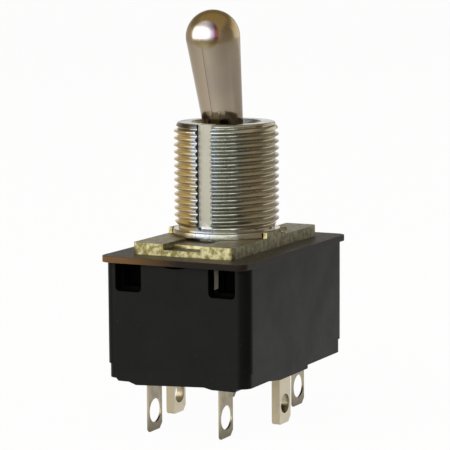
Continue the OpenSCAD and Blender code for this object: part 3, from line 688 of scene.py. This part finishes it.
def yellowed_nickel():
    """Nickel over cut brass, partly tarnished and partly painted reflection: golden on one side, silver by
    the keyway, brown on the other.

    The specks and tool marks are really about 0.1 mm and are drawn at 0.35 mm so that they show.
    """
    material, tree, where, _ = surface("yellowed_nickel")
    place = add_node(tree, "SeparateXYZ", {0: where})
    cloud = add_node(tree, "TexNoise", {"Vector": where, "Scale": 1 / (2.5 * MM), "Detail": 5.0})
    wavy = add_node(tree, "Math", {0: cloud, 1: 2.0 * MM, 2: place.outputs["X"]},
                    operation="MULTIPLY_ADD")
    across = add_node(tree, "MapRange", {VALUE: wavy, LOW: -5.0 * MM, HIGH: 7.0 * MM})
    grit = add_node(tree, "TexNoise", {"Vector": where, "Scale": 1 / (0.35 * MM), "Detail": 3.0,
                                       "Roughness": 0.7})
    floor, wall = keyway_masks(tree, place)
    cut = cut_metal(tree, where, place, across, grit)
    # painted shade: the keyway's walls are near black
    shaded_walls = add_node(tree, "Mix", {FACTOR: wall, FIRST: cut, SECOND: "#26221a"})
    milled = milled_floor(tree, place, grit)
    base = add_node(tree, "Mix", {FACTOR: floor, FIRST: shaded_walls, SECOND: milled})
    shine = add_node(tree, "MapRange", {VALUE: floor, TO_LOW: 1.0, TO_HIGH: 0.15})
    haze = add_node(tree, "MapRange", {VALUE: cloud, LOW: 0.3, HIGH: 0.7, TO_LOW: 0.12, TO_HIGH: 0.24})
    matte = add_node(tree, "Math", {0: floor, 1: 0.6}, operation="MULTIPLY")
    dull = add_node(tree, "Math", {0: haze, 1: matte}, operation="MAXIMUM")
    lumps = add_node(tree, "Bump", {"Height": grit, "Distance": 0.012 * MM})
    shader = add_node(tree, "BsdfPrincipled", {"Base Color": base, "Roughness": dull, "Normal": lumps,
                                               "Metallic": shine})
    add_node(tree, "OutputMaterial", {"Surface": shader})
    return material


def passivated_zinc():
    """Zinc plate gone yellow: olive-grey top, cream and mottled on the sheared edges, with painted shade in
    the recess and on the edges that face ±X, and painted light on the legs.
    """
    material, tree, where, facing = surface("passivated_zinc")
    mottle = add_node(tree, "TexNoise", {"Vector": where, "Scale": 1 / (0.6 * MM), "Detail": 6.0,
                                         "Roughness": 0.6})
    bloom = add_node(tree, "MapRange", {VALUE: mottle, LOW: 0.42, HIGH: 0.58})
    edge = add_node(tree, "Mix", {FACTOR: bloom, FIRST: "#8f8650", SECOND: "#d9d4a8"})
    # painted shade: a darker copy of the edge colour, for the edges that face ±X
    shaded_side_edge = add_node(tree, "Mix", {FACTOR: bloom, FIRST: "#625f4a", SECOND: "#8f8b70"})
    cloud = add_node(tree, "TexNoise", {"Vector": where, "Scale": 1 / (3.0 * MM), "Detail": 4.0})
    patch = add_node(tree, "MapRange", {VALUE: cloud, LOW: 0.35, HIGH: 0.65})
    top = add_node(tree, "Mix", {FACTOR: patch, FIRST: "#9a9173", SECOND: "#857d62"})
    place = add_node(tree, "SeparateXYZ", {0: where})
    # painted shade on the floor of the recess
    sunk = add_node(tree, "MapRange", {VALUE: place.outputs["Z"], LOW: -0.2 * MM, HIGH: -0.5 * MM})
    top = add_node(tree, "Mix", {FACTOR: sunk, FIRST: top, SECOND: "#4a4539"})
    side = add_node(tree, "SeparateXYZ", {0: facing})
    broad = add_node(tree, "Math", {0: side.outputs["X"]}, operation="ABSOLUTE")
    long_side = add_node(tree, "MapRange", {VALUE: broad, LOW: 0.5, HIGH: 0.8})
    rim = add_node(tree, "Mix", {FACTOR: long_side, FIRST: edge, SECOND: shaded_side_edge})
    # painted light: the legs low in the case's windows are cream-white and hardly metallic, so that they
    # show bright
    leg_painted_light = add_node(tree, "MapRange", {VALUE: place.outputs["Z"], LOW: -1.5 * MM, HIGH: -2.2 * MM})
    rim = add_node(tree, "Mix", {FACTOR: leg_painted_light, FIRST: rim, SECOND: "#fff6d4"})
    bare = add_node(tree, "MapRange", {VALUE: leg_painted_light, TO_LOW: 0.8, TO_HIGH: 0.1})
    upright = add_node(tree, "MapRange", {VALUE: side.outputs["Z"], LOW: 0.3, HIGH: 0.8})
    base = add_node(tree, "Mix", {FACTOR: upright, FIRST: rim, SECOND: top})
    haze = add_node(tree, "MapRange", {VALUE: mottle, LOW: 0.35, HIGH: 0.65, TO_LOW: 0.35, TO_HIGH: 0.55})
    lumps = add_node(tree, "Bump", {"Height": mottle, "Distance": 0.02 * MM})
    shader = add_node(tree, "BsdfPrincipled", {"Base Color": base, "Roughness": haze, "Normal": lumps,
                                               "Metallic": bare})
    add_node(tree, "OutputMaterial", {"Surface": shader})
    return material


def phenolic_sheet():
    """Paper-filled phenolic sheet: dark brown and satin, a fibrous sawn edge and an olive-brown face.

    Its fibres, really about 0.1 mm apart, are drawn at 0.6 mm in layers of 0.1 mm so that they show.
    """
    material, tree, where, facing = surface("phenolic_sheet")
    laid = add_node(tree, "Mapping", {"Vector": where, "Scale": (1.0, 1.0, 6.0)})
    grain = add_node(tree, "TexNoise", {"Vector": laid, "Scale": 1 / (0.6 * MM), "Detail": 6.0})
    tone = add_node(tree, "MapRange", {VALUE: grain, LOW: 0.35, HIGH: 0.65})
    edge = add_node(tree, "Mix", {FACTOR: tone, FIRST: "#130e0b", SECOND: "#1e1610"})
    place = add_node(tree, "SeparateXYZ", {0: where})
    # the edge turns lighter brown towards -X
    toned = add_node(tree, "MapRange", {VALUE: place.outputs["X"], LOW: 1.0 * MM, HIGH: -6.0 * MM})
    edge = add_node(tree, "Mix", {FACTOR: toned, FIRST: edge, SECOND: "#6a4f30"})
    cloud = add_node(tree, "TexNoise", {"Vector": where, "Scale": 1 / (2.0 * MM), "Detail": 4.0})
    patch = add_node(tree, "MapRange", {VALUE: cloud, LOW: 0.35, HIGH: 0.65})
    top = add_node(tree, "Mix", {FACTOR: patch, FIRST: "#38322a", SECOND: "#463e2c"})
    side = add_node(tree, "SeparateXYZ", {0: facing})
    upright = add_node(tree, "MapRange", {VALUE: side.outputs["Z"], LOW: 0.3, HIGH: 0.8})
    dim = add_node(tree, "MapRange", {VALUE: place.outputs["X"], LOW: 2.0 * MM, HIGH: 8.0 * MM,
                                      TO_LOW: 0.0, TO_HIGH: 0.35})
    top = add_node(tree, "Mix", {FACTOR: dim, FIRST: top, SECOND: "#1c1914"})
    base = add_node(tree, "Mix", {FACTOR: upright, FIRST: edge, SECOND: top})
    haze = add_node(tree, "MapRange", {VALUE: grain, LOW: 0.3, HIGH: 0.7, TO_LOW: 0.42, TO_HIGH: 0.55})
    lumps = add_node(tree, "Bump", {"Height": grain, "Distance": 0.008 * MM})
    shader = add_node(tree, "BsdfPrincipled", {"Base Color": base, "Roughness": haze, "Normal": lumps,
                                               "Specular IOR Level": 0.15})
    add_node(tree, "OutputMaterial", {"Surface": shader})
    return material


def inside_windows(tree, where):
    """Mask of the case's inner faces that show through the windows."""
    place = add_node(tree, "SeparateXYZ", {0: where})
    aside = add_node(tree, "Math", {0: place.outputs["X"]}, operation="ABSOLUTE")
    along = add_node(tree, "Math", {0: place.outputs["Y"]}, operation="ABSOLUTE")
    deep_x = add_node(tree, "Math", {0: aside, 1: CASE_HALF[0] - 1.4 * MM}, operation="LESS_THAN")
    deep_y = add_node(tree, "Math", {0: along, 1: CASE_HALF[1] - 0.2 * MM}, operation="LESS_THAN")
    above = add_node(tree, "Math", {0: place.outputs["Z"], 1: -14.0 * MM}, operation="GREATER_THAN")
    deep = add_node(tree, "Math", {0: deep_x, 1: deep_y}, operation="MULTIPLY")
    return add_node(tree, "Math", {0: deep, 1: above}, operation="MULTIPLY")


def case_gloss(tree, facing, deep):
    """Gloss of the case: weaker where its corners turn, and nearly none inside the windows, as painted
    shade.
    """
    way = add_node(tree, "SeparateXYZ", {0: facing})
    turning = add_node(tree, "Math", {0: way.outputs["X"], 1: way.outputs["Y"]}, operation="MULTIPLY")
    turned = add_node(tree, "Math", {0: turning}, operation="ABSOLUTE")
    corner = add_node(tree, "MapRange", {VALUE: turned, LOW: 0.1, HIGH: 0.35, TO_LOW: 0.135,
                                         TO_HIGH: 0.05})
    shut = add_node(tree, "MapRange", {VALUE: deep, TO_LOW: 1.0, TO_HIGH: 0.1})
    return add_node(tree, "Math", {0: corner, 1: shut}, operation="MULTIPLY")


def phenolic_moulding():
    """Black moulded phenolic: satin, faint flow marks, a little dust, and painted shade inside the windows,
    dead black and nearly without gloss.

    The dust is really finer than 0.1 mm and is drawn at 0.25 mm so that it shows.
    """
    material, tree, where, facing = surface("phenolic_moulding")
    flow = add_node(tree, "TexNoise", {"Vector": where, "Scale": 1 / (4.0 * MM), "Detail": 5.0,
                                       "Roughness": 0.6})
    tone = add_node(tree, "MapRange", {VALUE: flow, LOW: 0.35, HIGH: 0.65})
    black = add_node(tree, "Mix", {FACTOR: tone, FIRST: "#0a0b0a", SECOND: "#0f110f"})
    motes = add_node(tree, "TexNoise", {"Vector": where, "Scale": 1 / (0.25 * MM), "Detail": 2.0})
    dust = add_node(tree, "MapRange", {VALUE: motes, LOW: 0.7, HIGH: 0.82, TO_LOW: 0.0, TO_HIGH: 0.3})
    dusty = add_node(tree, "Mix", {FACTOR: dust, FIRST: black, SECOND: "#4c4c44"})
    deep = inside_windows(tree, where)
    # painted shade: the inner faces seen through the windows are dead black
    base = add_node(tree, "Mix", {FACTOR: deep, FIRST: dusty, SECOND: "#0a0a0a"})
    gloss = case_gloss(tree, facing, deep)
    haze = add_node(tree, "MapRange", {VALUE: flow, LOW: 0.3, HIGH: 0.7, TO_LOW: 0.36, TO_HIGH: 0.5})
    lumps = add_node(tree, "Bump", {"Height": flow, "Distance": 0.01 * MM})
    shader = add_node(tree, "BsdfPrincipled", {"Base Color": base, "Roughness": haze, "Normal": lumps,
                                               "Specular IOR Level": gloss})
    shader.inputs["Specular IOR Level"].default_value = CASE_GLOSS
    add_node(tree, "OutputMaterial", {"Surface": shader})
    return material


def tinned_brass():
    """Hot-tinned stamped brass: pale, slightly uneven, brass showing through at the edges."""
    material, tree, where, facing = surface("tinned_brass")
    ripple = add_node(tree, "TexNoise", {"Vector": where, "Scale": 1 / (1.1 * MM), "Detail": 4.0})
    tone = add_node(tree, "MapRange", {VALUE: ripple, LOW: 0.35, HIGH: 0.65})
    face = add_node(tree, "Mix", {FACTOR: tone, FIRST: "#a89f8e", SECOND: "#978c76"})
    place = add_node(tree, "SeparateXYZ", {0: where})
    aside = add_node(tree, "Math", {0: place.outputs["X"]}, operation="ABSOLUTE")
    middle = add_node(tree, "Math", {0: aside, 1: 5.5 * MM}, operation="GREATER_THAN")
    face = add_node(tree, "Mix", {FACTOR: middle, FIRST: face, SECOND: "#c6bda6"})
    side = add_node(tree, "SeparateXYZ", {0: facing})
    broad = add_node(tree, "Math", {0: side.outputs["X"]}, operation="ABSOLUTE")
    share = add_node(tree, "MapRange", {VALUE: broad, LOW: 0.4, HIGH: 0.8})
    base = add_node(tree, "Mix", {FACTOR: share, FIRST: "#aca288", SECOND: face})
    # darker towards the tips, except where |x| is over 5.5 mm
    tip = add_node(tree, "MapRange", {VALUE: place.outputs["Z"], LOW: -18.5 * MM, HIGH: -21.0 * MM,
                                      TO_LOW: 0.0, TO_HIGH: 0.95})
    end = add_node(tree, "Math", {0: 1.0, 1: middle}, operation="SUBTRACT")
    tip = add_node(tree, "Math", {0: tip, 1: end}, operation="MULTIPLY")
    darkened_tips = add_node(tree, "Mix", {FACTOR: tip, FIRST: base, SECOND: "#6a624f"})
    haze = add_node(tree, "MapRange", {VALUE: ripple, LOW: 0.3, HIGH: 0.7, TO_LOW: 0.3, TO_HIGH: 0.44})
    lumps = add_node(tree, "Bump", {"Height": ripple, "Distance": 0.02 * MM})
    shader = add_node(tree, "BsdfPrincipled", {"Base Color": darkened_tips, "Roughness": haze, "Normal": lumps,
                                               "Metallic": 1.0})
    add_node(tree, "OutputMaterial", {"Surface": shader})
    return material


def plain_metal(name, light, dark, roughness, grain_mm):
    """Inside metal: two close tones in a fine grain."""
    material, tree, where, _ = surface(name)
    grain = add_node(tree, "TexNoise", {"Vector": where, "Scale": 1 / (grain_mm * MM), "Detail": 4.0})
    tone = add_node(tree, "MapRange", {VALUE: grain, LOW: 0.35, HIGH: 0.65})
    base = add_node(tree, "Mix", {FACTOR: tone, FIRST: dark, SECOND: light})
    haze = add_node(tree, "MapRange", {VALUE: grain, LOW: 0.3, HIGH: 0.7, TO_LOW: roughness,
                                       TO_HIGH: roughness + 0.12})
    lumps = add_node(tree, "Bump", {"Height": grain, "Distance": 0.004 * MM})
    shader = add_node(tree, "BsdfPrincipled", {"Base Color": base, "Roughness": haze, "Normal": lumps,
                                               "Metallic": 1.0})
    add_node(tree, "OutputMaterial", {"Surface": shader})
    return material


def moulded_nylon():
    """Natural nylon: milky, waxy and a little translucent."""
    material, tree, where, _ = surface("moulded_nylon")
    cloud = add_node(tree, "TexNoise", {"Vector": where, "Scale": 1 / (2.0 * MM), "Detail": 4.0})
    tone = add_node(tree, "MapRange", {VALUE: cloud, LOW: 0.35, HIGH: 0.65})
    base = add_node(tree, "Mix", {FACTOR: tone, FIRST: "#d6cdae", SECOND: "#c6bb98"})
    haze = add_node(tree, "MapRange", {VALUE: cloud, LOW: 0.3, HIGH: 0.7, TO_LOW: 0.4, TO_HIGH: 0.5})
    lumps = add_node(tree, "Bump", {"Height": cloud, "Distance": 0.01 * MM})
    shader = add_node(tree, "BsdfPrincipled", {"Base Color": base, "Roughness": haze, "Normal": lumps,
                                               "Subsurface Weight": 0.15, "Subsurface Scale": 0.8 * MM})
    add_node(tree, "OutputMaterial", {"Surface": shader})
    return material


# ---- stage, light and camera ----

def room_mask(tree, place):
    """Mask of the paper that lies towards the room: in front of the part, and far out to either side.

    Its distances are in metres from the part, along the floor.
    """
    a = math.radians(AZIMUTH)
    b = a + math.radians(FORE_TURN)
    away, back, across = [add_node(tree, "VectorMath", {0: place, 1: way}, operation="DOT_PRODUCT")
                          for way in ((-math.sin(a), math.cos(a), 0), (-math.sin(b), math.cos(b), 0),
                                      (math.cos(a), math.sin(a), 0))]
    aside = add_node(tree, "Math", {0: across}, operation="ABSOLUTE")
    beyond = add_node(tree, "Math", {0: away, 1: -0.14, 2: aside}, operation="MULTIPLY_ADD")
    fore = add_node(tree, "MapRange", {VALUE: back, LOW: -0.035, HIGH: -0.1})
    wide = add_node(tree, "MapRange", {VALUE: beyond, LOW: 0.04, HIGH: 0.12, TO_LOW: 0.0, TO_HIGH: 0.6})
    return add_node(tree, "Math", {0: fore, 1: wide}, operation="MAXIMUM")


def stage_material():
    """Pale paper sweep: white round and behind the part with its shadow kept, greyer towards the room."""
    material, tree, where, _ = surface("paper_sweep")
    room = room_mask(tree, where)
    tone = add_node(tree, "Mix", {FACTOR: room, FIRST: "#ffffff", SECOND: ROOM_TONE})
    paper = add_node(tree, "BsdfDiffuse", {"Color": tone})
    glow = add_node(tree, "Emission", {"Color": tone, "Strength": 1.0})
    path = add_node(tree, "LightPath").outputs
    seen = add_node(tree, "Math", {0: path["Is Camera Ray"], 1: path["Is Glossy Ray"]},
                    operation="MAXIMUM")
    seen = add_node(tree, "Math", {0: seen, 1: path["Is Transmission Ray"]}, operation="MAXIMUM")
    part = add_node(tree, "Math", {0: seen, 1: GLOW_SHARE}, operation="MULTIPLY")
    mix = add_node(tree, "MixShader", {0: part, 1: paper, 2: glow})
    add_node(tree, "OutputMaterial", {"Surface": mix})
    return material


def floor_sweep():
    """Floor under the solder lugs that rolls up into a low backdrop on every side."""
    outline = [(0, 0)] + arc((FLOOR_R, SWEEP_R), SWEEP_R, -90, 0, 9) + [(FLOOR_R + SWEEP_R, WALL_H)]
    mesh = lathe("floor_sweep", outline, 64)
    mesh.transform(Matrix.Translation((0, 0, CAD_BOX[0][2])))
    for face in mesh.polygons:
        face.use_smooth = True
    sweep = new_object("floor_sweep", mesh)
    sweep.data.materials.append(stage_material())


def room_light():
    """Warm, dim room for the metal to mirror."""
    world = bpy.data.worlds.new("room")
    bpy.context.scene.world = world
    world.use_nodes = True
    tree = world.node_tree
    tree.nodes.clear()
    sky = add_node(tree, "Background", {"Color": ROOM_TONE, "Strength": 0.8})
    add_node(tree, "OutputWorld", {"Surface": sky})


def direction(azimuth, elevation):
    """Unit vector from the part at these angles in degrees; azimuth 0 looks from -Y and turns to +X."""
    a, e = math.radians(azimuth), math.radians(elevation)
    return Vector((math.sin(a) * math.cos(e), -math.cos(a) * math.cos(e), math.sin(e)))


def soft_box(name, azimuth, elevation, distance, width, height, power, colour):
    """Rectangular area lamp aimed at the part's origin, in metres and watts, angles as for the camera."""
    back = direction(azimuth, elevation)
    lamp = bpy.data.lights.new(name, "AREA")
    lamp.shape = "RECTANGLE"
    lamp.size = width
    lamp.size_y = height
    lamp.energy = power
    lamp.color = linear(colour)[:3]
    holder = bpy.data.objects.new(name, lamp)
    bpy.context.scene.collection.objects.link(holder)
    holder.location = back * distance
    holder.rotation_euler = back.to_track_quat("Z", "Y").to_euler()


def lamps():
    """Large soft window on the left, a weaker fill behind, a narrow front light and a wide top light."""
    # name, azimuth, elevation, distance, width, height, power, colour
    soft_box("window", AZIMUTH - 49, 6, 0.5, 1.15, 0.7, 5.0, "#fffcf8")
    soft_box("side", AZIMUTH + 125, 10, 0.6, 0.6, 0.5, 0.8, "#fbf8f2")
    soft_box("front", AZIMUTH + 12, 18, 0.5, 0.16, 0.3, 0.35, "#fbfdff")
    soft_box("overhead", AZIMUTH, 78, 0.7, 1.3, 1.3, 1.5, "#fff4e0")


def add_camera():
    """Long-lens camera at the viewing angle, with its small offsets taken across the line of sight."""
    a, roll = math.radians(AZIMUTH), math.radians(ROLL)
    back = direction(AZIMUTH, ELEVATION)
    level = Vector((math.cos(a), math.sin(a), 0))
    upright = back.cross(level)
    right = math.cos(roll) * level + math.sin(roll) * upright
    up = math.cos(roll) * upright - math.sin(roll) * level
    lens = bpy.data.cameras.new("camera")
    lens.lens = LENS
    lens.sensor_width = SENSOR
    lens.clip_start = 0.02
    lens.clip_end = 20
    holder = bpy.data.objects.new("camera", lens)
    bpy.context.scene.collection.objects.link(holder)
    spot = (back * CAMERA_FAR + right * CAMERA_SHIFT[0] + up * CAMERA_SHIFT[1]) * MM
    turn = Matrix((right, up, back)).transposed().to_4x4()
    holder.matrix_world = Matrix.Translation(spot) @ turn
    bpy.context.scene.camera = holder


# ---- the whole part ----

# softened edges of the lugs, in mm
THIN_LUG_EDGE = 0.03
MIDDLE_LUG_EDGE = 0.06

bat_lever()
threaded_bushing()
zinc = passivated_zinc()
stake_mark(zinc)

# node: width of its softened edges in mm, slot, finish
DRESSED = {
    "mounting_plate": (0.07, "zinc_plated_steel", zinc),
    "insulating_plate": (0.06, "phenolic_laminate", phenolic_sheet()),
    "case_moulding": (0.1, "phenolic_moulding", phenolic_moulding()),
}
for node, (width, slot, material) in DRESSED.items():
    finish_piece(soft_edged(node, width), "frame", slot, material, node)

lug_finish = tinned_brass()
for name in frame["nodes"]:
    if name.endswith("_terminal"):
        width = MIDDLE_LUG_EDGE if "common" in name else THIN_LUG_EDGE
        finish_piece(soft_edged(name, width), "frame", "tinned_brass", lug_finish, name)

copper = plain_metal("copper_strip", "#c08a5c", "#a8703f", 0.25, 0.8)
silver = plain_metal("silver_contact", "#d6d4cc", "#bdbab0", 0.18, 0.4)
steel = plain_metal("drawn_steel", "#a6a8aa", "#85878a", 0.25, 0.3)
nylon = moulded_nylon()
# end of a CAD node's name: its finish, for what lies inside and keeps its own shape
INSIDE = {"_rocker": copper, "_contact": silver, "lever_pin": steel, "actuator_spring": steel,
          "actuator": nylon}
for name, part in frame["nodes"].items():
    for ending, material in INSIDE.items():
        if name.endswith(ending):
            part.data.materials.clear()
            part.data.materials.append(material)
            break

floor_sweep()
room_light()
lamps()
add_camera()
bpy.context.scene.view_settings.view_transform = "Standard"
